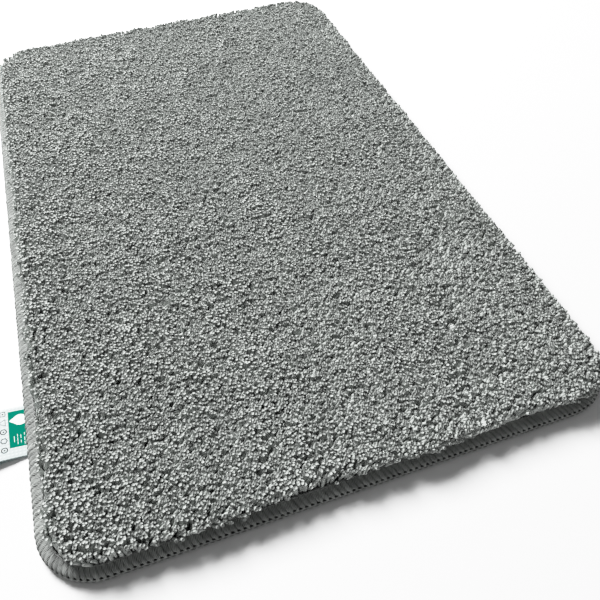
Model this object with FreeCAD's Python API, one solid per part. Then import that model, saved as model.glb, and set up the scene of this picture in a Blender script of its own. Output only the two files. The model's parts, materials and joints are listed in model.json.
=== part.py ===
import FreeCAD, Part
import os
from FreeCAD import Vector
from math import cos, radians, sin

# Rectangular tufted bath mat, 500 x 800 mm, with rounded corners and an overlocked yarn edge.
# Origin: centre of the underside. +Y runs along the mat, +X across it, +Z up out of the pile.
# Everything is in millimetres. "inset" is a distance in from the mat's outer edge.

# Overall size
MAT_WIDTH = 500.0
MAT_LENGTH = 800.0
CORNER_RADIUS = 50.0
MAT_HEIGHT = 20.0

# Layers of the mat, from the floor up
ANTI_SLIP_TOP = 1.6
BINDER_TOP = 2.4
SCRIM_TOP = 3.0
CUT_EDGE_INSET = 3.0

# Overlock seam: looper threads wrapped round the cut edge as a bead
THREAD_THICKNESS = 1.0
SEAM_WIDTH = 10.5
PURL_HEIGHT = 4.6
UPPER_EDGE_RADIUS = 4.6
LOWER_EDGE_RADIUS = 3.0
SEAM_RISE = 0.8
NEEDLE_THREAD_RADIUS = 0.35
NEEDLE_THREAD_INSET = 9.2

# Pile: the soft field of cut tufts, pinched under the seam and swelling out over it
PILE_GAP = 0.1
PILE_BULGE_INSET = 7.0
PILE_BULGE_HEIGHT = 15.0
PILE_SHOULDER_INSET = 12.0
PILE_NECK_HEIGHT = 11.4
PILE_CORE_INSET = 14.0

# Care label: a satin strip folded into a soft loop, sewn into the left edge near the front corner
LABEL_WIDTH = 52.0
LABEL_THICKNESS = 0.3
LABEL_CENTRE_Y = -249.1
LABEL_HEIGHT = 1.3
LABEL_GAP = 0.9
LABEL_TILT = 7.0
LABEL_OPENING = 8.5
LABEL_FOLD_DISTANCE = 35.0

SEAM_TOP = PURL_HEIGHT + UPPER_EDGE_RADIUS


def arc_through(start, middle, end):
    """Edge along the circular arc through three (inset, height) points."""
    a, b, c = (Vector(0, u, z) for u, z in (start, middle, end))
    return Part.Arc(a, b, c).toShape()


def line(start, end):
    """Straight edge between two (inset, height) points."""
    return Part.makeLine(Vector(0, *start), Vector(0, *end))


def arc_point(centre, radius, degrees):
    """The (inset, height) point at an angle on a circle, 0 degrees pointing inwards."""
    angle = radians(degrees)
    return centre[0] + radius * cos(angle), centre[1] + radius * sin(angle)


def quarter(centre, radius, first, last):
    """Edge along a circle from one angle to another."""
    ends = [arc_point(centre, radius, d) for d in (first, (first + last) / 2, last)]
    return arc_through(*ends)


def section(edges):
    """Face of a closed section drawn as edges in the (inset, height) plane."""
    return Part.Face(Part.Wire(Part.__sortEdges__(edges)))


def around_the_edge(face):
    """Solid ring that carries a section all round the mat, with round corners."""
    ring = None
    for side in range(4):
        along, across = MAT_WIDTH / 2, MAT_LENGTH / 2
        if side % 2:
            along, across = across, along
        run = along - CORNER_RADIUS
        start = face.translated(Vector(-run, -across, 0))
        straight = start.extrude(Vector(2 * run, 0, 0))
        centre = Vector(run, CORNER_RADIUS - across, 0)
        corner = start.translated(Vector(2 * run, 0, 0)).revolve(centre, Vector(0, 0, 1), 90)
        for piece in (straight, corner):
            piece.rotate(Vector(0, 0, 0), Vector(0, 0, 1), 90 * side)
            ring = piece if ring is None else ring.fuse(piece)
    return ring.removeSplitter()


def rounded_plate(inset, bottom, top):
    """Flat slab with the mat's outline, drawn in by an inset."""
    half_x = MAT_WIDTH / 2 - inset
    half_y = MAT_LENGTH / 2 - inset
    slab = Part.makeBox(2 * half_x, 2 * half_y, top - bottom, Vector(-half_x, -half_y, bottom))
    uprights = [e for e in slab.Edges if abs(e.Vertexes[0].Z - e.Vertexes[1].Z) > 0.01]
    return slab.makeFillet(CORNER_RADIUS - inset, uprights)


def anti_slip_backing():
    """Soft rubbery sheet on the floor side, thinned where the seam wraps round it."""
    middle = rounded_plate(SEAM_WIDTH, 0, ANTI_SLIP_TOP)
    margin = rounded_plate(CUT_EDGE_INSET, THREAD_THICKNESS, ANTI_SLIP_TOP)
    return middle.fuse(margin).removeSplitter()


def binder_coat():
    """Latex coat that locks the tufts into the scrim."""
    return rounded_plate(CUT_EDGE_INSET, ANTI_SLIP_TOP, BINDER_TOP)


def primary_scrim():
    """Woven base cloth that the tufts are needled through."""
    return rounded_plate(CUT_EDGE_INSET, BINDER_TOP, SCRIM_TOP)


def upper_looper_thread():
    """Looper yarn from the outermost line of the edge, up and over to the needle line."""
    centre = (UPPER_EDGE_RADIUS, PURL_HEIGHT)
    inner_radius = UPPER_EDGE_RADIUS - THREAD_THICKNESS
    crest = SEAM_TOP + SEAM_RISE
    outer_end = (SEAM_WIDTH, crest)
    inner_end = (SEAM_WIDTH, crest - THREAD_THICKNESS)
    edges = [
        quarter(centre, UPPER_EDGE_RADIUS, 180, 90),
        line((UPPER_EDGE_RADIUS, SEAM_TOP), outer_end),
        line(outer_end, inner_end),
        line(inner_end, (UPPER_EDGE_RADIUS, SEAM_TOP - THREAD_THICKNESS)),
        quarter(centre, inner_radius, 90, 180),
        line((THREAD_THICKNESS, PURL_HEIGHT), (0, PURL_HEIGHT)),
    ]
    return around_the_edge(section(edges))


def lower_looper_thread():
    """Looper yarn from the outermost line of the edge, down and under to the needle line."""
    centre = (LOWER_EDGE_RADIUS, LOWER_EDGE_RADIUS)
    inner_radius = LOWER_EDGE_RADIUS - THREAD_THICKNESS
    edges = [
        line((0, PURL_HEIGHT), (0, LOWER_EDGE_RADIUS)),
        quarter(centre, LOWER_EDGE_RADIUS, 180, 270),
        line((LOWER_EDGE_RADIUS, 0), (SEAM_WIDTH, 0)),
        line((SEAM_WIDTH, 0), (SEAM_WIDTH, THREAD_THICKNESS)),
        line((SEAM_WIDTH, THREAD_THICKNESS), (LOWER_EDGE_RADIUS, THREAD_THICKNESS)),
        quarter(centre, inner_radius, 270, 180),
        line((THREAD_THICKNESS, LOWER_EDGE_RADIUS), (THREAD_THICKNESS, PURL_HEIGHT)),
        line((THREAD_THICKNESS, PURL_HEIGHT), (0, PURL_HEIGHT)),
    ]
    return around_the_edge(section(edges))


def needle_thread():
    """Fine thread that runs along the inner border of the seam, lying on the looper yarn."""
    slope = SEAM_RISE / (SEAM_WIDTH - UPPER_EDGE_RADIUS)
    seat = SEAM_TOP + slope * (NEEDLE_THREAD_INSET - UPPER_EDGE_RADIUS)
    centre = Vector(0, NEEDLE_THREAD_INSET, seat + NEEDLE_THREAD_RADIUS + slope * NEEDLE_THREAD_RADIUS)
    circle = Part.makeCircle(NEEDLE_THREAD_RADIUS, centre, Vector(1, 0, 0))
    return around_the_edge(Part.Face(Part.Wire(circle)))


def pile_field():
    """Soft closed volume of the cut tufts, from the scrim to the tips."""
    centre = (UPPER_EDGE_RADIUS, PURL_HEIGHT)
    radius = UPPER_EDGE_RADIUS - THREAD_THICKNESS - PILE_GAP
    foot = THREAD_THICKNESS + PILE_GAP
    seam_inner = SEAM_WIDTH + PILE_GAP
    pinch = SEAM_TOP - THREAD_THICKNESS - PILE_GAP
    under_crest = pinch + SEAM_RISE
    neck = (seam_inner, PILE_NECK_HEIGHT)
    bulge = (PILE_BULGE_INSET, PILE_BULGE_HEIGHT)
    shoulder = (PILE_SHOULDER_INSET, MAT_HEIGHT)
    swell = arc_point((PILE_SHOULDER_INSET, PILE_BULGE_HEIGHT), MAT_HEIGHT - PILE_BULGE_HEIGHT, 135)
    edges = [
        line((PILE_CORE_INSET, SCRIM_TOP), (foot, SCRIM_TOP)),
        line((foot, SCRIM_TOP), (foot, PURL_HEIGHT)),
        quarter(centre, radius, 180, 90),
        line((UPPER_EDGE_RADIUS, pinch), (seam_inner, under_crest)),
        line((seam_inner, under_crest), neck),
        line(neck, bulge),
        arc_through(bulge, swell, shoulder),
        line(shoulder, (PILE_CORE_INSET, MAT_HEIGHT)),
        line((PILE_CORE_INSET, MAT_HEIGHT), (PILE_CORE_INSET, SCRIM_TOP)),
    ]
    core = rounded_plate(PILE_CORE_INSET, SCRIM_TOP, MAT_HEIGHT)
    return around_the_edge(section(edges)).fuse(core).removeSplitter()


def label_outline(offset):
    """Edges of the loop's section at an offset from its middle line; X halves the loop's opening."""
    half = radians(LABEL_OPENING / 2)
    centre = (LABEL_FOLD_DISTANCE, 0)
    radius = LABEL_FOLD_DISTANCE * sin(half) + offset
    upper, lower = (arc_point(centre, radius, side * (90 + LABEL_OPENING / 2)) for side in (1, -1))
    fold = arc_through(upper, (LABEL_FOLD_DISTANCE + radius, 0), lower)
    if offset < 0:
        meeting = (-offset / sin(half), 0)
        return [line(meeting, upper), fold, line(lower, meeting)]
    ends = [(-offset * sin(half), side * offset * cos(half)) for side in (1, -1)]
    return [line(ends[0], upper), fold, line(lower, ends[1]), arc_through(ends[1], (-offset, 0), ends[0])]


def care_label():
    """Free part of the satin label: two layers that part at the seam, joined by a round fold."""
    half = LABEL_THICKNESS / 2
    face = section(label_outline(half)).cut(section(label_outline(-half)))
    label = face.translated(Vector(-LABEL_WIDTH / 2, 0, 0)).extrude(Vector(LABEL_WIDTH, 0, 0))
    label.rotate(Vector(0, 0, 0), Vector(0, 0, 1), 90)
    label.rotate(Vector(0, 0, 0), Vector(0, 1, 0), LABEL_TILT - LABEL_OPENING / 2)
    label.translate(Vector(-MAT_WIDTH / 2 - LABEL_GAP, LABEL_CENTRE_Y, LABEL_HEIGHT))
    return label


SUB_PARTS = {
    "anti_slip_backing": anti_slip_backing,
    "binder_coat": binder_coat,
    "primary_scrim": primary_scrim,
    "pile_field": pile_field,
    "upper_looper_thread": upper_looper_thread,
    "lower_looper_thread": lower_looper_thread,
    "needle_thread": needle_thread,
    "care_label": care_label,
}

os.makedirs("parts", exist_ok=True)
for name, make in SUB_PARTS.items():
    shape = make()
    solids = shape.Solids
    if len(solids) != 1 or not solids[0].isValid():
        raise ValueError(f"{name} is not one valid solid")
    solids[0].exportStep(f"parts/{name}.step")
    print(f"{name}: {solids[0].Volume / 1000:.1f} cm3, {len(solids[0].Faces)} faces")
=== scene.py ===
import json
from math import cos, exp, pi, radians, sin, sqrt

import bpy
import numpy as np
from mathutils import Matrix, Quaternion, Vector
from mathutils.kdtree import KDTree


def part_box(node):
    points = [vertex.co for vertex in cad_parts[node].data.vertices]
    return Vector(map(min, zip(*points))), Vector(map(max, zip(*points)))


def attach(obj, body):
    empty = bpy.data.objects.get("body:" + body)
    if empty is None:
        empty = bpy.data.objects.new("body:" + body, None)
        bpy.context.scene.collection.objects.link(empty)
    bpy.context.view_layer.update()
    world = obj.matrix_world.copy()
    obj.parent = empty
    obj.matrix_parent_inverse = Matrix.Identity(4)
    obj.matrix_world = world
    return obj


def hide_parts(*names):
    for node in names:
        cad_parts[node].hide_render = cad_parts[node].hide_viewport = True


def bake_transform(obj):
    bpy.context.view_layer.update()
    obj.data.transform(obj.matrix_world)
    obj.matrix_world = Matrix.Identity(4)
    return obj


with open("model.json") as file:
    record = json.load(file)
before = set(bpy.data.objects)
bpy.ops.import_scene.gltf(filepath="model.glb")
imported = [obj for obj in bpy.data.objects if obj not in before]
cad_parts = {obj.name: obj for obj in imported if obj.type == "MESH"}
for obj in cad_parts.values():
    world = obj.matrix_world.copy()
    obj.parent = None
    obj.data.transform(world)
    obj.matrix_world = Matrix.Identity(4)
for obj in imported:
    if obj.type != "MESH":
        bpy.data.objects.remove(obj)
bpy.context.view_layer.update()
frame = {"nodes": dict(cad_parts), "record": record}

# Shapes are worked out in millimetres in the mat's own frame and turned into metres when a mesh is made.
# "inset" is a distance in from the mat's outer edge, and "along" a distance round that edge.
MM = 0.001
UP = np.array([0.0, 0.0, 1.0])


def box_mm(node):
    """Low and high corners of a CAD node's box."""
    low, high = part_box(node)
    return np.array(low) / MM, np.array(high) / MM


SEAM_LOW, SEAM_HIGH = box_mm("upper_looper_thread")
HALF_WIDTH = SEAM_HIGH[0]
HALF_LENGTH = SEAM_HIGH[1]
CORNER = 50.0  # radius of the mat's corners
SCRIM_TOP = box_mm("primary_scrim")[1][2]
BACKING_HIGH = box_mm("anti_slip_backing")[1]
CUT_EDGE = HALF_WIDTH - BACKING_HIGH[0]

# Overlock seam. A reach is in stitches, to either side of the middle of a loop or stitch.
SEAM_WIDTH = 10.5
PURL_HEIGHT = SEAM_LOW[2]
CREST_HEIGHT = SEAM_HIGH[2]
UPPER_RADIUS = 4.6
LOWER_RADIUS = 3.0
STITCH_PITCH = 5.0
STRANDS = 4
PURL_REACH, PURL_RADIUS = 0.62, 0.56
NEEDLE_REACH = 0.46

# Underside
SHEET_LOW = 0.5
SHEET_RIM_LOW = 1.0
STUD_PITCH = 7.0
STUD_MARGIN = 3
STUD_HEIGHTS = (SHEET_LOW + 0.1, 0.25, 0.06)
STUD_RADII = (1.9, 1.75, 1.2)
STUD_SIDES = 8

# Pile. Leans are in millimetres sideways for each millimetre up; shakes are in pitches.
TUFT_PITCH = 2.28
TUFT_LENGTH = 21.2
TUFT_RADIUS = 1.12
TUFT_SIDES = 5
TUFT_TWIST = 0.5
TUFT_SHAKE = 0.28
ROOT_INSET = 10.1
EDGE_REACH, SPLAY_REACH = 5, 14
EDGE_SHORTENING = 4.0
BEND_AT_ROOT = 0.1
RADIUS_SPREAD = 0.84, 1.14
TUFTS_PER_PIECE = 5600
CLUMP_PITCH, CLUMP_SHAKE = 4.5, 0.45
MEAN_LEAN = np.array([0.45, 0.02])
BRUSHED_LEAN, BRUSHED_WAVELENGTH = 0.09, 120
PATCH_LEAN, PATCH_WAVELENGTH = 0.09, 34
CLUMP_LEAN = 0.09
OWN_LEAN = 0.11
GATHERING = 0.3
SPLAY, SPLAY_AT_BACK, SPLAY_AT_RIGHT, SPLAY_OF_LAST_ROWS = 0.25, 0.08, 0.32, 0.35
HEIGHT_RIPPLE, HEIGHT_WAVELENGTH = 0.5, 60
OWN_HEIGHT, CLUMP_HEIGHT = 0.45, 0.55
OWN_TONE, CLUMP_TONE, TONE_LIMIT = 0.07, 0.05, 0.22

# Shares by which the pile is calmer, straighter or more uneven at the edge than in the middle
CALMER_PATCHES, CALMER_TUFTS, CALMER_CURL = 0.3, 0.2, 0.4
STRAIGHTENING = 0.8
MORE_UNEVEN_HEIGHT = 0.4

# The rings of a tuft from its root to its tip: shares of its length and radius, and the tone there.
# The tones are painted shade: dark at the root deep in the pile, and lowered at the last ring and the
# cut end to tone down the tips' highlight; cut yarn is also a little darker.
# The curl is how far each step between two rings turns aside at random.
TUFT_STATIONS = np.array([0.0, 0.46, 0.74, 0.95])
TUFT_PROFILE = np.array([0.8, 1.0, 1.28, 1.3])
TUFT_PAINTED_SHADE = np.array([0.1, 0.9, 1.0, 0.82])
TUFT_CUT_SHADE = 0.48
TUFT_CURL = np.array([0.0, 0.12, 0.33])

# Label
HINGE = np.array(frame["record"]["behaviour"]["joints"][0]["pos_m"]) / MM
LABEL_LOW, LABEL_HIGH = box_mm("care_label")
LABEL_THICKNESS = 0.26
LABEL_TILT = radians(7)
LABEL_OPENING = radians(8.5)
LABEL_FOLD_DISTANCE = 35.0
LABEL_ROOT = 3.4
LABEL_PLY_GAP = 0.2
LABEL_BELLY = 0.4
INK_LIFT, OVERPRINT_LIFT = 0.04, 0.08
FLUTTER, FLUTTER_WIDTH, FLUTTER_START = 0.2, 9.0, 0.7
HALF_OPENING = LABEL_OPENING / 2
FOLD_RADIUS = LABEL_FOLD_DISTANCE * sin(HALF_OPENING)
LABEL_STRAIGHT = LABEL_ROOT + LABEL_FOLD_DISTANCE * cos(HALF_OPENING)
LABEL_STRIP = 2 * LABEL_STRAIGHT + (pi + LABEL_OPENING) * FOLD_RADIUS


# ---------------------------------------------------------------- geometry helpers


def outline(along, inset):
    """Points at distances round the mat from its front edge's left end, and the outward normals there."""
    run_x, run_y = 2 * (HALF_WIDTH - CORNER), 2 * (HALF_LENGTH - CORNER)
    turn = pi / 2 * CORNER
    along = np.asarray(along, float) % perimeter()
    angle = np.zeros_like(along)
    place = np.zeros(along.shape + (2,))
    half = np.array([HALF_WIDTH, HALF_LENGTH]) - CORNER
    start = 0.0
    for side, run in enumerate((run_x, run_y, run_x, run_y)):
        facing = side * pi / 2 - pi / 2
        heading = np.array([cos(facing + pi / 2), sin(facing + pi / 2)])
        first = np.array([cos(facing), sin(facing)]) * half - heading * half
        on_run = (along >= start) & (along < start + run)
        distance = along[on_run] - start
        place[on_run] = first + distance[:, None] * heading
        angle[on_run] = facing
        start += run
        on_turn = (along >= start) & (along < start + turn)
        place[on_turn] = first + run * heading
        angle[on_turn] = facing + (along[on_turn] - start) / CORNER
        start += turn
    normal = np.stack([np.cos(angle), np.sin(angle)], -1)
    return place + normal * (CORNER - np.asarray(inset, float)[..., None]), normal


def perimeter():
    """Length of the mat's outline."""
    return 4 * (HALF_WIDTH + HALF_LENGTH - 2 * CORNER) + 2 * pi * CORNER


def inset_of(x, y):
    """Distance in from the outer edge, and the outward direction of the nearest edge."""
    spare = np.stack([np.abs(x) - HALF_WIDTH + CORNER, np.abs(y) - HALF_LENGTH + CORNER], -1)
    reach = np.maximum(spare, 0)
    distance = np.linalg.norm(reach, axis=-1) + np.minimum(spare.max(-1), 0) - CORNER
    straight = np.where(spare[:, :1] > spare[:, 1:], [[1.0, 0.0]], [[0.0, 1.0]])
    outward = np.where(reach.min(-1, keepdims=True) > 0, reach, straight)
    outward = outward / np.linalg.norm(outward, axis=-1, keepdims=True)
    return -distance, outward * np.sign(np.stack([x, y], -1))


def ripple(x, y, wavelength, seed, waves=16):
    """Smooth uneven field over the plane, mostly from -1 to 1, as a sum of waves in random directions."""
    shortest, longest = 0.6, 1.6
    draw = np.random.default_rng(seed)
    total = np.zeros_like(x)
    for _ in range(waves):
        heading, phase = draw.uniform(0, 2 * pi, 2)
        number = 2 * pi / (wavelength * draw.uniform(shortest, longest))
        total += np.sin(number * (x * cos(heading) + y * sin(heading)) + phase)
    return total / sqrt(waves)


def unit(vectors):
    return vectors / np.maximum(np.linalg.norm(vectors, axis=-1, keepdims=True), 1e-9)


def make_piece(name, points, polygons, material, body=None, smooth=True):
    """Object from points in millimetres and a list of index arrays, one for each size of polygon."""
    mesh = bpy.data.meshes.new(name)
    corners = np.concatenate([p.ravel() for p in polygons]).astype(np.int32)
    sizes = np.concatenate([np.full(len(p), p.shape[1]) for p in polygons])
    starts = np.concatenate([[0], np.cumsum(sizes)[:-1]]).astype(np.int32)
    mesh.vertices.add(len(points))
    mesh.vertices.foreach_set("co", (points * MM).astype(np.float32).ravel())
    mesh.loops.add(len(corners))
    mesh.loops.foreach_set("vertex_index", corners)
    mesh.polygons.add(len(sizes))
    mesh.polygons.foreach_set("loop_start", starts)
    mesh.polygons.foreach_set("use_smooth", np.full(len(sizes), smooth))
    mesh.update(calc_edges=True)
    mesh.materials.append(material)
    piece = bpy.data.objects.new(name, mesh)
    bpy.context.scene.collection.objects.link(piece)
    if body:
        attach(piece, body)
    return piece


def give_values(piece, name, values):
    """Stores one number for each point of a piece, for its material to read."""
    attribute = piece.data.attributes.new(name, "FLOAT", "POINT")
    attribute.data.foreach_set("value", values.astype(np.float32).ravel())


def grid_faces(rows, columns, close_columns=False):
    """Quads over a grid of points that is stored row by row."""
    index = np.arange(rows * columns).reshape(rows, columns)
    if close_columns:
        index = np.concatenate([index, index[:, :1]], axis=1)
    quads = np.stack([index[:-1, :-1], index[:-1, 1:], index[1:, 1:], index[1:, :-1]], -1)
    return quads.reshape(-1, 4)


def tubes(paths, radii, sides, upright, lobe=0.0, twist=0.0, foot=True):
    """Many tubes at once. paths is (tubes, rings, 3) and radii is (tubes, rings).

    Each end is capped by a point that stands out by a share of the radius. Without a foot the first end
    stays open. Returns the points, the polygons and how many points each tube has.
    """
    foot_bulge, tip_bulge = 0.5, 0.45
    count, rings, _ = paths.shape
    heading = unit(np.gradient(paths, axis=1))
    across = unit(np.cross(heading, np.broadcast_to(upright[:, None], heading.shape)))
    other = np.cross(heading, across)
    turn = 2 * pi * np.arange(sides) / sides + twist * np.arange(rings)[:, None]
    swell = 1 + lobe * np.cos(pi * np.arange(sides))
    cosine, sine = np.cos(turn)[None, :, :, None], np.sin(turn)[None, :, :, None]
    ring = across[:, :, None] * cosine + other[:, :, None] * sine
    skin = paths[:, :, None] + ring * (radii[:, :, None] * swell)[..., None]
    start = paths[:, 0] - heading[:, 0] * radii[:, :1] * foot_bulge
    end = paths[:, -1] + heading[:, -1] * radii[:, -1:] * tip_bulge
    skin = skin.reshape(count, -1, 3)
    quads = grid_faces(rings, sides, close_columns=True)[:, ::-1]
    first = np.arange(sides)
    last = first + (rings - 1) * sides
    top = rings * sides
    caps = [np.stack([np.full(sides, top), last, np.roll(last, -1)], -1)]
    points = [skin, end[:, None]]
    if foot:
        caps.append(np.stack([np.full(sides, top + 1), np.roll(first, -1), first], -1))
        points.append(start[:, None])
    points = np.concatenate(points, axis=1)
    each = points.shape[1]
    offset = (np.arange(count) * each)[:, None, None]
    polygons = [(q[None] + offset).reshape(-1, q.shape[1]) for q in (quads, np.concatenate(caps))]
    return points.reshape(-1, 3), polygons, each


# ---------------------------------------------------------------- materials


def new_material(name, roughness, sheen=0.0, specular=0.5):
    material = bpy.data.materials.new(name)
    material.use_nodes = True
    shader = material.node_tree.nodes["Principled BSDF"]
    shader.inputs["Roughness"].default_value = roughness
    shader.inputs["Specular IOR Level"].default_value = specular
    shader.inputs["Sheen Weight"].default_value = sheen
    shader.inputs["Sheen Roughness"].default_value = 0.5
    return material, material.node_tree, shader


def node(tree, kind, **values):
    """New node; each value goes to the input socket of that name, or else to the node's own setting."""
    made = tree.nodes.new(kind)
    for key, value in values.items():
        if key in made.inputs:
            made.inputs[key].default_value = value
        else:
            setattr(made, key, value)
    return made


def mix_colour(tree, factor, first, second, blend="MIX"):
    """Mix node; first and second are colours or sockets. The numbers are those of its colour sockets."""
    mix = tree.nodes.new("ShaderNodeMix")
    mix.data_type = "RGBA"
    mix.blend_type = blend
    for socket, value in ((mix.inputs[0], factor), (mix.inputs[6], first), (mix.inputs[7], second)):
        if isinstance(value, bpy.types.NodeSocket):
            tree.links.new(value, socket)
        elif isinstance(value, tuple):
            socket.default_value = (*value, 1)
        else:
            socket.default_value = value
    return mix.outputs[2]


def noise(tree, scale, detail=3.0):
    place = tree.nodes.new("ShaderNodeTexCoord")
    made = node(tree, "ShaderNodeTexNoise", Scale=scale, Detail=detail)
    tree.links.new(place.outputs["Object"], made.inputs["Vector"])
    return made.outputs["Fac"]


def yarn_material(name, shade, light, sheen):
    """Bulked yarn, mixed from its shade colour to its light colour by each point's tone, which carries
    painted shade in the pile's depths and the seam's partings and holes; uneven from place to place.
    """
    material, tree, shader = new_material(name, roughness=0.9, sheen=sheen, specular=0.1)
    tone = tree.nodes.new("ShaderNodeAttribute")
    tone.attribute_name = "tone"
    colour = mix_colour(tree, tone.outputs["Fac"], shade, light)
    uneven = mix_colour(tree, noise(tree, scale=25.0), (0.90, 0.90, 0.91), (1.0, 1.0, 1.0))
    fibres = mix_colour(tree, noise(tree, scale=1400.0), (0.80, 0.80, 0.80), (1.12, 1.12, 1.12))
    colour = mix_colour(tree, 1.0, colour, uneven, "MULTIPLY")
    tree.links.new(mix_colour(tree, 1.0, colour, fibres, "MULTIPLY"), shader.inputs["Base Color"])
    return material


def bumped(tree, shader, height, strength, distance):
    bump = node(tree, "ShaderNodeBump", Strength=strength, Distance=distance)
    tree.links.new(height, bump.inputs["Height"])
    tree.links.new(bump.outputs["Normal"], shader.inputs["Normal"])


def weave_height(tree, thread):
    """Plain weave: two crossed sets of threads, each 2 pi times thread metres from the next."""
    wave_rate = 20  # radians to a metre, in a wave texture of scale 1
    place = tree.nodes.new("ShaderNodeTexCoord")
    waves = []
    for direction in ("X", "Y"):
        wave = node(tree, "ShaderNodeTexWave", Scale=1 / (thread * wave_rate), bands_direction=direction)
        tree.links.new(place.outputs["Object"], wave.inputs["Vector"])
        waves.append(wave.outputs["Fac"])
    product = node(tree, "ShaderNodeMath", operation="MULTIPLY")
    tree.links.new(waves[0], product.inputs[0])
    tree.links.new(waves[1], product.inputs[1])
    return product.outputs[0]


def woven_material(name, dark, light, thread, roughness, sheen):
    material, tree, shader = new_material(name, roughness, sheen, specular=0.3)
    height = weave_height(tree, thread)
    # Painted shade: the colour is darker where the weave's threads dip, following the bump's height
    tree.links.new(mix_colour(tree, height, dark, light), shader.inputs["Base Color"])
    bumped(tree, shader, height, strength=0.5, distance=0.0002)
    return material


def rubber_material(name, dark, light, roughness, grain):
    material, tree, shader = new_material(name, roughness, specular=0.4)
    uneven = noise(tree, scale=60.0)
    tree.links.new(mix_colour(tree, uneven, dark, light), shader.inputs["Base Color"])
    bumped(tree, shader, noise(tree, grain, detail=5.0), strength=0.4, distance=0.0002)
    return material


def ink_material(name, colour, faded):
    material, tree, shader = new_material(name, roughness=0.6, specular=0.0)
    tree.links.new(mix_colour(tree, noise(tree, scale=900.0), faded, colour), shader.inputs["Base Color"])
    return material


PILE_YARN = yarn_material("pile_yarn", (0.14, 0.147, 0.14), (0.54, 0.566, 0.542), sheen=0.05)
# The seam yarn's near-black shade colour is the painted shade in its holes and partings
SEAM_YARN = yarn_material("seam_yarn", (0.010, 0.010, 0.010), (0.385, 0.40, 0.385), sheen=0.05)
NEEDLE_YARN = yarn_material("needle_yarn", (0.18, 0.18, 0.18), (0.42, 0.43, 0.42), sheen=0.1)
SCRIM = woven_material("scrim_weave", (0.20, 0.21, 0.20), (0.36, 0.37, 0.36), 0.0016, 0.9, 0.0)
LATEX = rubber_material("latex_binder", (0.72, 0.70, 0.64), (0.84, 0.82, 0.76), 0.7, 900.0)
ANTI_SLIP = rubber_material("anti_slip_rubber", (0.42, 0.44, 0.43), (0.50, 0.52, 0.51), 0.6, 1400.0)
SATIN = woven_material("label_satin", (0.48, 0.55, 0.55), (0.55, 0.63, 0.63), 0.0005, 0.45, 0.1)
TEAL_INK = ink_material("label_teal_ink", (0.001, 0.16, 0.11), (0.002, 0.19, 0.13))
WHITE_INK = ink_material("label_white_ink", (0.93, 0.93, 0.93), (0.85, 0.88, 0.87))
GREY_INK = ink_material("label_grey_ink", (0.05, 0.05, 0.05), (0.09, 0.09, 0.09))


# ---------------------------------------------------------------- pile


def staggered_grid(pitch, shake, draw):
    """Points of a staggered grid over the mat, each moved at random by up to shake pitches."""
    row = pitch * sqrt(3) / 2
    columns, rows = np.arange(-HALF_WIDTH, HALF_WIDTH, pitch), np.arange(-HALF_LENGTH, HALF_LENGTH, row)
    x, y = np.meshgrid(columns, rows)
    x = x + (np.arange(len(x)) % 2)[:, None] * pitch / 2
    return [c.ravel() + draw.uniform(-shake, shake, c.size) * pitch for c in (x, y)]


def clumps(x, y):
    """The nearest clump to each tuft: its number, and the way from the tuft's root to its middle."""
    draw = np.random.default_rng(13)
    centre_x, centre_y = staggered_grid(CLUMP_PITCH, CLUMP_SHAKE, draw)
    tree = KDTree(len(centre_x))
    for number, (cx, cy) in enumerate(zip(centre_x, centre_y)):
        tree.insert((cx, cy, 0), number)
    tree.balance()
    number = np.array([tree.find((tx, ty, 0))[1] for tx, ty in zip(x, y)])
    return number, np.stack([centre_x[number] - x, centre_y[number] - y], -1)


def at_edge(inset):
    """1 at the outermost tufts, falling to 0 a few rows in."""
    return np.clip(1 - (inset - ROOT_INSET) / EDGE_REACH, 0, 1) ** 2


def tuft_leans(x, y, draw, clump, to_clump):
    """How far each tuft's tip leans sideways for each millimetre that it stands up."""
    inset, outward = inset_of(x, y)
    to_edge = np.clip(1 - (inset - ROOT_INSET) / SPLAY_REACH, 0, 1)
    brushed = np.stack([ripple(x, y, BRUSHED_WAVELENGTH, seed) for seed in (1, 2)], -1)
    patch = np.stack([ripple(x, y, PATCH_WAVELENGTH, seed) for seed in (3, 4)], -1)
    of_clump = draw.normal(0, 1, (clump.max() + 1, 2))[clump]
    own = draw.normal(0, 1, (len(x), 2))
    uneven = BRUSHED_LEAN * brushed + PATCH_LEAN * patch * (1 - CALMER_PATCHES * to_edge[:, None])
    uneven += (CLUMP_LEAN * of_clump + OWN_LEAN * own) * (1 - CALMER_TUFTS * to_edge[:, None])
    beside_edge = MEAN_LEAN - (outward @ MEAN_LEAN)[:, None] * outward
    brushing = MEAN_LEAN - STRAIGHTENING * (to_edge**2)[:, None] * beside_edge
    splay = SPLAY + SPLAY_AT_BACK * outward[:, 1] + SPLAY_AT_RIGHT * np.maximum(outward[:, 0], 0)
    splay = splay * (to_edge**1.5 + SPLAY_OF_LAST_ROWS * at_edge(inset))
    return brushing + uneven + GATHERING * to_clump / TUFT_LENGTH + splay[:, None] * outward


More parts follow.
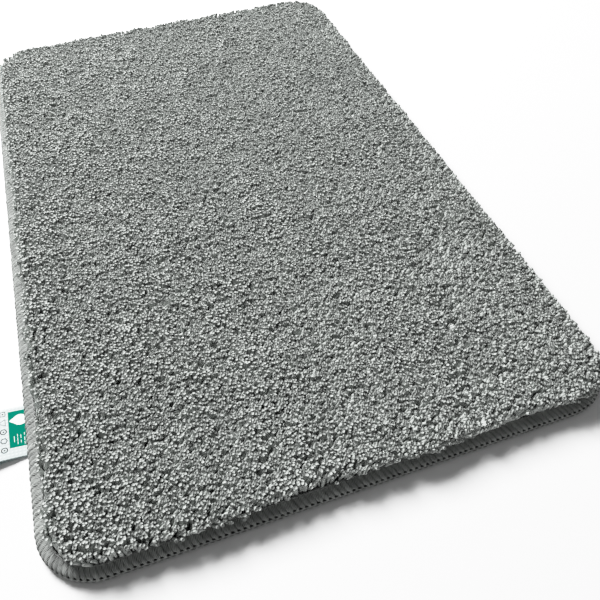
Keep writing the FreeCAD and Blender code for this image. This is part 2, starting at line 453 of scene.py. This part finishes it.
def pile_tufts():
    """The pile as separate cut tufts of yarn, in several pieces from the front edge to the back."""
    draw = np.random.default_rng(12)
    x, y = staggered_grid(TUFT_PITCH, TUFT_SHAKE, draw)
    standing = inset_of(x, y)[0] > ROOT_INSET
    x, y = x[standing], y[standing]
    order = np.argsort(y, kind="stable")
    x, y = x[order], y[order]
    inset, _ = inset_of(x, y)
    clump, to_clump = clumps(x, y)
    lean = tuft_leans(x, y, draw, clump, to_clump)
    height = TUFT_LENGTH + HEIGHT_RIPPLE * ripple(x, y, HEIGHT_WAVELENGTH, 7)
    height += draw.normal(0, OWN_HEIGHT, len(x))
    of_clump = draw.normal(0, CLUMP_HEIGHT, clump.max() + 1)[clump]
    height += of_clump * (1 + MORE_UNEVEN_HEIGHT * at_edge(inset))
    height -= EDGE_SHORTENING * at_edge(inset)
    steps = np.diff(TUFT_STATIONS)
    bend = BEND_AT_ROOT + TUFT_STATIONS[:-1] + TUFT_STATIONS[1:]
    curl = draw.normal(0, 1, (len(x), 1, 2)) * TUFT_CURL[None, :, None]
    curl *= (1 - CALMER_CURL * at_edge(inset))[:, None, None]
    sideways = lean[:, None] * bend[None, :, None] + curl
    heading = np.concatenate([sideways, np.ones((len(x), len(steps), 1))], -1)
    moves = unit(heading) * (steps[None, :] * height[:, None])[..., None]
    root = np.stack([x, y, np.full_like(x, SCRIM_TOP)], -1)
    paths = root[:, None] + np.concatenate([np.zeros((len(x), 1, 3)), np.cumsum(moves, axis=1)], axis=1)
    radii = TUFT_RADIUS * draw.uniform(*RADIUS_SPREAD, (len(x), 1)) * TUFT_PROFILE
    spin = draw.uniform(0, 2 * pi, len(x))
    upright = np.stack([np.cos(spin), np.sin(spin), np.zeros_like(spin)], -1)
    own_tone = draw.normal(0, OWN_TONE, len(x)) + draw.normal(0, CLUMP_TONE, clump.max() + 1)[clump]
    own_tone = np.clip(own_tone, -TONE_LIMIT, TONE_LIMIT)
    # Painted shade: these tones darken each tuft towards its root and dull the highlight on its tip
    painted_ring_shade = np.append(np.repeat(TUFT_PAINTED_SHADE, TUFT_SIDES), TUFT_CUT_SHADE)
    pieces = []
    for number, first in enumerate(range(0, len(x), TUFTS_PER_PIECE)):
        part = slice(first, first + TUFTS_PER_PIECE)
        points, polygons, _ = tubes(
            paths[part], radii[part], TUFT_SIDES, upright[part], twist=TUFT_TWIST, foot=False
        )
        piece = make_piece(f"pile_tufts_{number:02d}", points, polygons, PILE_YARN, "mat")
        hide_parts("pile_field")
        tone = painted_ring_shade[None] + own_tone[part][:, None]
        give_values(piece, "tone", np.clip(tone, 0, 1))
        pieces.append(piece)
    return pieces


# ---------------------------------------------------------------- overlock seam


def upper_section(travel):
    """Place (inset, height) and normal on the seam's upper face, travel mm from the purl line."""
    arc = UPPER_RADIUS * pi / 2
    angle = pi - np.clip(travel / UPPER_RADIUS, -0.5, pi / 2)
    flat = np.maximum(travel - arc, 0)
    slope = (CREST_HEIGHT - PURL_HEIGHT - UPPER_RADIUS) / (SEAM_WIDTH - UPPER_RADIUS)
    inset = UPPER_RADIUS * (1 + np.cos(angle)) + flat
    height = PURL_HEIGHT + UPPER_RADIUS * np.sin(angle) + flat * slope
    place = np.stack([inset, height], -1)
    return place, np.stack([np.cos(angle), np.sin(angle)], -1)


def lower_section(travel):
    """The same on the seam's lower face."""
    drop = PURL_HEIGHT - LOWER_RADIUS
    angle = pi + np.clip((travel - drop) / LOWER_RADIUS, 0, pi / 2)
    flat = np.maximum(travel - drop - LOWER_RADIUS * pi / 2, 0)
    height = LOWER_RADIUS * (1 + np.sin(angle)) + np.maximum(drop - travel, 0)
    place = np.stack([LOWER_RADIUS * (1 + np.cos(angle)) + flat, height], -1)
    return place, np.stack([np.cos(angle), np.sin(angle)], -1)


def stitches():
    """How many stitches go round the mat."""
    return round(perimeter() / STITCH_PITCH)


def looper_skins(name, section, travels, relief, slant, shift, replaced, fine):
    """Ribbed looper yarn round the edge, one piece for each quarter; fine is the columns to a stitch."""
    count = stitches() * fine
    stitch = np.arange(count) / fine
    rows, tones = [], []
    for travel in travels:
        phase = (stitch + shift + slant * travel / travels[-1]) % stitches()
        lift, tone = relief(phase, travel)
        place, normal = section(np.full(count, travel))
        place = place + normal * lift[:, None]
        spot, _ = outline(stitch / stitches() * perimeter(), place[:, 0])
        rows.append(np.concatenate([spot, place[:, 1:]], -1))
        tones.append(np.clip(tone, 0, 1))
    points, tones = np.stack(rows), np.stack(tones)
    pieces = []
    for quarter in range(4):
        columns = np.arange(quarter * count // 4, (quarter + 1) * count // 4 + 1) % count
        faces = grid_faces(len(travels), len(columns))
        piece = make_piece(
            f"{name}_{quarter}", points[:, columns].reshape(-1, 3), [faces], SEAM_YARN, "mat"
        )
        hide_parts(replaced)
        give_values(piece, "tone", tones[:, columns])
        pieces.append(piece)
    return pieces


def strand_shape(phase, strands, seed):
    """Height, 0 to 1, of round strands lying side by side, and two random numbers for each strand."""
    roundness = 0.6
    own = np.random.default_rng(seed).normal(0, 1, (2, stitches() * strands))
    number = phase * strands
    return np.abs(np.sin(pi * number)) ** roundness, *own[:, np.floor(number).astype(int) % own.shape[1]]


def upper_relief(phase, travel):
    """Ribs of side-by-side strands, parted most near the purl line, with a hole between ribs above it.

    The lift is in millimetres out of the seam's face. Flecks are short dark places between strands. The
    tone is painted shade: light on the strands and dark between them, in the partings, holes and flecks.
    """
    base, rib_rise, rib_spread, strand_rise, strand_spread = -0.90, 0.70, 0.12, 0.46, 0.10
    end_travel, end_length = -1.2, 1.7
    parting_width, parting_depth, parting_length = 0.75, 0.90, 3.5
    hole_travel, hole_size, hole_depth = 1.3, 1.2, 1.5
    fleck_travel, fleck_scatter, fleck_length, fleck_depth = 5.5, 2.5, 1.6, 0.6
    rib = np.random.default_rng(31).normal(0, 1, stitches())[np.floor(phase).astype(int) % stitches()]
    from_gap = np.minimum(phase % 1, 1 - phase % 1) * STITCH_PITCH
    sway = 0.06 * np.sin(travel * 0.8 + rib)
    strand, own, place = strand_shape(phase + sway, STRANDS, 32)
    near_purl = exp(-((travel / parting_length) ** 2))
    parting = np.exp(-((from_gap / parting_width) ** 2)) * (0.55 + 0.3 * near_purl)
    end = np.clip((travel - end_travel) / end_length, 0, 1) ** 0.5
    hole = np.exp(-((from_gap / hole_size) ** 4) - ((travel - hole_travel) / hole_size) ** 4)
    from_fleck = (travel - fleck_travel - fleck_scatter * place) / fleck_length
    fleck = (1 - strand) * np.clip(own, 0, 1.5) * np.exp(-(from_fleck**2))
    lift = base + (rib_rise + rib_spread * rib) * end + strand_rise * strand + strand_spread * own
    lift = lift - parting_depth * parting - hole_depth * hole - fleck_depth * fleck
    # Painted shade: darker between strands and in the partings, holes and flecks
    tone = 0.35 + 0.65 * strand - 0.55 * parting - 1.5 * hole
    tone = tone + 0.08 * own + 0.05 * rib - 0.9 * fleck
    return lift, tone


def lower_relief(phase, travel):
    """Flatter ribs that wrap under the edge."""
    base, strand_rise = -0.45, 0.22
    parting_width, parting_depth = 0.6, 0.45
    from_gap = np.minimum(phase % 1, 1 - phase % 1) * STITCH_PITCH
    strand, own, _ = strand_shape(phase, STRANDS, 33)
    parting = np.exp(-((from_gap / parting_width) ** 2))
    lift = base + strand_rise * strand - parting_depth * parting
    # Painted shade: darker between strands and in the partings
    tone = 0.50 + 0.36 * strand - 0.4 * parting + 0.06 * own
    return lift, tone


def purl_loops():
    """The small loops that lock the two looper yarns together along the outermost line."""
    drop, rise, height_spread = 2.1, 1.4, 0.12
    depth, tuck, depth_spread = 0.25, 0.8, 0.08
    thickness = np.array([0.7, 0.9, 1, 1, 1, 0.9, 0.7])
    draw = np.random.default_rng(21)
    count = stitches()
    t = np.linspace(-PURL_REACH, PURL_REACH, len(thickness))
    along = (np.arange(count)[:, None] + 0.5 + t) * perimeter() / count
    sag = (t / PURL_REACH) ** 2
    height = PURL_HEIGHT - drop + rise * sag + draw.normal(0, height_spread, (count, 1))
    inset = depth + tuck * sag + draw.normal(0, depth_spread, (count, 1))
    spot, _ = outline(along, inset)
    paths = np.concatenate([spot, height[..., None]], -1)
    radii = np.broadcast_to(PURL_RADIUS * thickness, height.shape)
    upright = np.tile(UP, (count, 1))
    points, polygons, each = tubes(paths, radii, 6, upright, lobe=0.12, twist=0.6)
    piece = make_piece("purl_loops", points, polygons, SEAM_YARN, "mat")
    give_values(piece, "tone", np.repeat(draw.uniform(0.45, 0.75, count), each))
    return piece


def needle_stitches():
    """The row of needle stitches along the seam's inner border, under the pile's edge."""
    dip_depth, inset_spread = 0.5, 0.1
    draw = np.random.default_rng(22)
    low, high = box_mm("needle_thread")
    inset = HALF_WIDTH - high[0] + (high[2] - low[2]) / 2
    count = stitches()
    t = np.linspace(-NEEDLE_REACH, NEEDLE_REACH, 5)
    along = (np.arange(count)[:, None] + 0.5 + t) * perimeter() / count
    dip = (t / NEEDLE_REACH) ** 4
    insets = np.repeat(inset + draw.normal(0, inset_spread, (count, 1)), len(t), axis=1)
    spot, _ = outline(along, insets)
    height = np.broadcast_to((low[2] + high[2]) / 2 - dip_depth * dip, spot.shape[:-1])
    paths = np.concatenate([spot, height[..., None]], -1)
    radii = np.full(height.shape, (high[2] - low[2]) / 2)
    points, polygons, each = tubes(paths, radii, 6, np.tile(UP, (count, 1)), lobe=0.1, twist=0.7)
    piece = make_piece("needle_stitches", points, polygons, NEEDLE_YARN, "mat")
    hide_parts("needle_thread")
    give_values(piece, "tone", np.repeat(draw.uniform(0.4, 0.9, count), each))
    return piece


# ---------------------------------------------------------------- underside


def grip_studs():
    """Points and faces of the low round studs, each a stack of three rings closed at both ends."""
    x, y = staggered_grid(STUD_PITCH, 0.0, np.random.default_rng(0))
    keep = inset_of(x, y)[0] > SEAM_WIDTH + STUD_MARGIN
    rings = len(STUD_HEIGHTS)
    x, y = (np.repeat(c[keep, None], rings, axis=1) for c in (x, y))
    centres = np.stack([x, y, np.tile(STUD_HEIGHTS, (len(x), 1))], -1)
    radii = np.tile(STUD_RADII, (len(x), 1))
    turn = 2 * pi * np.arange(STUD_SIDES) / STUD_SIDES
    circle = np.stack([np.cos(turn), np.sin(turn), np.zeros(STUD_SIDES)], -1)
    studs = centres[:, :, None] + circle * radii[..., None, None]
    quads = grid_faces(rings, STUD_SIDES, close_columns=True)
    first = np.arange(STUD_SIDES)
    caps = np.stack([first, (first + (rings - 1) * STUD_SIDES)[::-1]])
    offset = (np.arange(len(x)) * rings * STUD_SIDES)[:, None, None]
    return studs.reshape(-1, 3), [(q[None] + offset).reshape(-1, q.shape[1]) for q in (quads, caps)]


def anti_slip_sheet():
    """Rubbery coat with a field of low grip studs on its floor side."""
    rim_count = 240
    along = np.arange(rim_count) * perimeter() / rim_count
    inner, _ = outline(along, np.full(rim_count, SEAM_WIDTH))
    rim, _ = outline(along, np.full(rim_count, CUT_EDGE))
    layers = (inner, SHEET_LOW), (rim, SHEET_RIM_LOW), (rim, BACKING_HIGH[2])
    skin = np.concatenate([np.column_stack([place, np.full(rim_count, z)]) for place, z in layers])
    ring = np.arange(rim_count)
    faces = [grid_faces(3, rim_count, close_columns=True), ring[None, ::-1], ring[None] + 2 * rim_count]
    studs, stud_faces = grip_studs()
    points = np.concatenate([skin, studs])
    faces += [face + len(skin) for face in stud_faces]
    piece = make_piece(
        "anti_slip_sheet", points, faces, ANTI_SLIP, "mat", smooth=False
    )
    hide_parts("anti_slip_backing")
    return piece


# ---------------------------------------------------------------- label


def label_section(travel):
    """The folded strip's (outward, height) path, travel millimetres from its sewn-in upper end."""
    back = LABEL_STRIP - travel
    folded = np.clip((travel - LABEL_STRAIGHT) / FOLD_RADIUS, 0, pi + LABEL_OPENING)
    on_fold = (travel > LABEL_STRAIGHT) & (back > LABEL_STRAIGHT)
    side = np.where(travel < back, 1, -1)
    free = np.minimum(travel, back) - LABEL_ROOT
    belly = LABEL_BELLY * np.sin(pi * np.clip(free / LABEL_FOLD_DISTANCE, 0, 1))
    out = np.where(free > 0, free * cos(HALF_OPENING), free)
    apart = side * (LABEL_PLY_GAP + np.maximum(free, 0) * sin(HALF_OPENING)) + belly
    angle = pi / 2 + HALF_OPENING - folded
    out = np.where(on_fold, LABEL_FOLD_DISTANCE + FOLD_RADIUS * np.cos(angle), out)
    apart = np.where(on_fold, (FOLD_RADIUS + LABEL_PLY_GAP) * np.sin(angle), apart)
    tilt = LABEL_TILT - HALF_OPENING
    return np.stack([out * cos(tilt) - apart * sin(tilt), out * sin(tilt) + apart * cos(tilt)], -1)


def label_points(travel, sideways, lift=0.0):
    """Points on the label's outer face; sideways is from its middle towards the back of the mat."""
    travel, sideways = np.broadcast_arrays(np.asarray(travel, float), np.asarray(sideways, float))
    small = 0.05
    here, ahead = label_section(travel), label_section(travel + small)
    heading = unit(ahead - here)
    normal = np.stack([-heading[..., 1], heading[..., 0]], -1)
    wave = FLUTTER * (1 + np.sin(sideways / FLUTTER_WIDTH + FLUTTER_START))
    flutter = wave * np.clip(here[..., 0] / LABEL_FOLD_DISTANCE, 0, 1)
    here = here + normal * (lift + LABEL_THICKNESS / 2)
    centre_y = (LABEL_LOW[1] + LABEL_HIGH[1]) / 2
    return np.stack([HINGE[0] - here[..., 0], centre_y + sideways, HINGE[2] + here[..., 1] + flutter], -1)


def bend_at_seam(piece):
    """Bakes the piece's placing into its points."""
    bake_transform(piece)


def label_strip():
    """The satin strip: an outer and an inner face over one grid, joined by a rim all round."""
    flat_steps, fold_steps, width_steps = 40, 13, 40
    half = (LABEL_HIGH[1] - LABEL_LOW[1]) / 2
    fold_end = LABEL_STRIP - LABEL_STRAIGHT
    runs = (
        (0, LABEL_STRAIGHT, flat_steps),
        (LABEL_STRAIGHT, fold_end, fold_steps),
        (fold_end, LABEL_STRIP, flat_steps),
    )
    travel = np.concatenate([np.linspace(*run, endpoint=False) for run in runs] + [[LABEL_STRIP]])
    sideways = np.linspace(-half, half, width_steps + 1)
    grid_t, grid_s = np.meshgrid(travel, sideways, indexing="ij")
    outer = label_points(grid_t, grid_s)
    inner = label_points(grid_t, grid_s, -LABEL_THICKNESS)
    rows, columns = grid_t.shape
    points = np.concatenate([outer.reshape(-1, 3), inner.reshape(-1, 3)])
    face = grid_faces(rows, columns)
    index = np.arange(rows * columns).reshape(rows, columns)
    border = np.concatenate([index[0, :-1], index[:-1, -1], index[-1, :0:-1], index[:0:-1, 0]])
    after = np.roll(border, -1)
    rim = np.stack([border, border + rows * columns, after + rows * columns, after], -1)
    piece = make_piece("care_label_strip", points, [face, face[:, ::-1] + rows * columns, rim], SATIN)
    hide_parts("care_label")
    bend_at_seam(piece)
    return piece


def printed(name, shapes, ink, lift):
    """Printed marks: each shape is a grid of (travel, sideways) points laid on the label's upper face."""
    points, quads, base = [], [], 0
    for shape in shapes:
        rows, columns, _ = shape.shape
        points.append(label_points(shape[..., 0] + LABEL_ROOT, shape[..., 1], lift).reshape(-1, 3))
        quads.append(grid_faces(rows, columns) + base)
        base += rows * columns
    piece = make_piece(name, np.concatenate(points), [np.concatenate(quads)], ink)
    bend_at_seam(piece)
    return piece


def bar(travel, sideways, size_t, size_s, rows, columns):
    """Rectangle of print from its middle and size."""
    t = np.linspace(travel - size_t / 2, travel + size_t / 2, rows)
    s = np.linspace(sideways - size_s / 2, sideways + size_s / 2, columns)
    return np.stack(np.meshgrid(t, s, indexing="ij"), -1)


def loop_mark(travel, sideways, radius, corners, turn):
    """Plain outline of a regular polygon, or of a circle if it has many corners."""
    stroke = 0.85
    angle = np.linspace(0, 2 * pi, corners + 1) + turn
    corner = np.stack([np.cos(angle), np.sin(angle)], -1)
    share = np.linspace(0, 1, 9)[:-1, None]
    sides = [a + share * (b - a) for a, b in zip(corner[:-1], corner[1:])]
    rim = np.concatenate([*sides, corner[:1]])
    return np.stack([rim * (radius - stroke), rim * radius]) + [travel, sideways]


def drop_mark(travel, sideways, radius):
    """Filled water drop with its point outwards."""
    point_width, stretch, squeeze = 0.45, 0.55, 0.15
    angle = np.linspace(0, 2 * pi, 49)
    point = np.exp(-((np.minimum(angle, 2 * pi - angle) / point_width) ** 2))
    outward, across = np.cos(angle) * (1 + stretch * point), np.sin(angle) * (1 - squeeze * point)
    rim = np.stack([outward, across], -1) * radius
    return np.stack([rim * share for share in (0.02, 0.35, 0.7, 1.0)]) + [travel, sideways]


def label_print():
    """A teal panel with plain white marks, and a column of plain outlines. None of it is lettering."""
    panel_edge, panel_low, panel_high, tucked_in = 13.6, -15.4, 21.9, 2
    middle = panel_edge / 2 - tucked_in / 2, (panel_low + panel_high) / 2
    panel = bar(*middle, panel_edge + tucked_in, panel_high - panel_low, rows=30, columns=24)
    panel = printed("label_panel", [panel], TEAL_INK, INK_LIFT)

    dash_rows = (
        (1.4, (-12.5, -8.5, -3.5)),
        (4.3, (-10.5, -5.5)),
        (6.9, (-11.5, -8.0, -4.0)),
        (9.6, (-9.0, -6.0)),
    )
    dash_width, dash_length = 0.45, 2.6
    dashes = [
        bar(row, place, dash_width, dash_length + (i % 2), rows=3, columns=6)
        for row, places in dash_rows for i, place in enumerate(places)
    ]
    drop = drop_mark(4.0, 12.0, radius=5.6)
    panel_marks = printed("label_panel_marks", [drop, *dashes], WHITE_INK, OVERPRINT_LIFT)

    column, radius, dot = 17.9, 2.8, 1.3
    places = np.linspace(20.7, -16.2, 5)
    corners = (4, 3, 28, 6, 28)
    turns = (pi / 4, 0, 0, 0, 0)
    outlines = [
        loop_mark(column, place, radius / cos(pi / count) ** 0.6, count, turn)
        for place, count, turn in zip(places, corners, turns)
    ]
    dots = [bar(column, place, dot, dot, rows=3, columns=3) for place in places[::2]]
    symbols = printed("label_symbols", [*outlines, *dots], GREY_INK, INK_LIFT)
    return [panel, panel_marks, symbols]


# ---------------------------------------------------------------- stage


def floor():
    """Large matt white square under the mat."""
    size = 8.0
    corners = (-size, -size), (size, -size), (size, size), (-size, size)
    points = np.array([[x, y, 0] for x, y in corners]) / MM
    material, _, shader = new_material("floor", roughness=0.9, specular=0.1)
    shader.inputs["Base Color"].default_value = (0.96, 0.96, 0.96, 1)
    make_piece("floor", points, [np.array([[0, 1, 2, 3]])], material, smooth=False)


def softbox(name, azimuth, elevation, distance, size, power):
    """Square soft light. Azimuth turns from the back of the mat towards its left side."""
    a, e = radians(azimuth), radians(elevation)
    away = Vector((-sin(a) * cos(e), cos(a) * cos(e), sin(e)))
    light = bpy.data.lights.new(name, "AREA")
    light.size = size
    light.energy = power
    holder = bpy.data.objects.new(name, light)
    holder.location = away * distance
    holder.rotation_mode = "QUATERNION"
    holder.rotation_quaternion = away.to_track_quat("Z", "Y")
    bpy.context.scene.collection.objects.link(holder)


def film_response(settings):
    """Light up to the knee shows as it is, and brighter light rolls off softly to white, as on film."""
    knee, white, steps = 0.5, 1.8, 7
    settings.view_transform = "Standard"
    settings.use_curve_mapping = True
    mapping = settings.curve_mapping
    mapping.white_level = (white, white, white)
    all_channels = mapping.curves[3]
    for light in np.linspace(knee, white, steps + 1)[:-1]:
        rolled = (1 - exp((knee - light) / (1 - knee))) / (1 - exp((knee - white) / (1 - knee)))
        all_channels.points.new(light / white, knee + (1 - knee) * rolled)
    mapping.update()


def studio():
    """Dim white surroundings, and one soft key light from the back left."""
    scene = bpy.context.scene
    film_response(scene.view_settings)
    world = bpy.data.worlds.new("studio")
    world.use_nodes = True
    world.node_tree.nodes["Background"].inputs["Color"].default_value = (1, 1, 1, 1)
    world.node_tree.nodes["Background"].inputs["Strength"].default_value = 0.17
    scene.world = world
    softbox("key", azimuth=24, elevation=39, distance=3.5, size=1.6, power=380)


def camera():
    """Looks down on the mat from beyond its front edge, a little left of its middle."""
    place = Vector((-0.110, -0.5965, 0.4965))
    aim = Vector((0.0188, -0.2011, 0.012))
    roll = radians(-1.87)
    eye = bpy.data.cameras.new("camera")
    eye.sensor_width = 36.0
    eye.lens = 38.86
    holder = bpy.data.objects.new("camera", eye)
    holder.location = place
    holder.rotation_mode = "QUATERNION"
    holder.rotation_quaternion = (aim - place).to_track_quat("-Z", "Y") @ Quaternion((0, 0, 1), roll)
    bpy.context.scene.collection.objects.link(holder)
    bpy.context.scene.camera = holder


# ---------------------------------------------------------------- the whole mat


def finish_cad_node(name, material):
    """Gives a hidden layer, which stays as its CAD shape, its material."""
    mesh = frame["nodes"][name].data
    mesh.materials.clear()
    mesh.materials.append(material)


tufts = pile_tufts()
seam = looper_skins(
    "upper_looper_ribs", upper_section,
    [-1.2, -0.6, 0.0, 0.5, 1.0, 1.5, 2.1, 3.0, 4.2, 5.6, 7.4, 9.8, 13.0],
    upper_relief, slant=1.2, shift=0.0, replaced="upper_looper_thread", fine=24,
) + looper_skins(
    "lower_looper_ribs", lower_section,
    [-0.6, 0.4, 1.4, 2.6, 3.8, 5.0, 6.4, 8.4, 11.0, 13.8],
    lower_relief, slant=-1.0, shift=0.5, replaced="lower_looper_thread", fine=16,
)
loops = purl_loops()
needle = needle_stitches()
backing = anti_slip_sheet()
finish_cad_node("binder_coat", LATEX)
finish_cad_node("primary_scrim", SCRIM)
strip = label_strip()
prints = label_print()

floor()
studio()
camera()
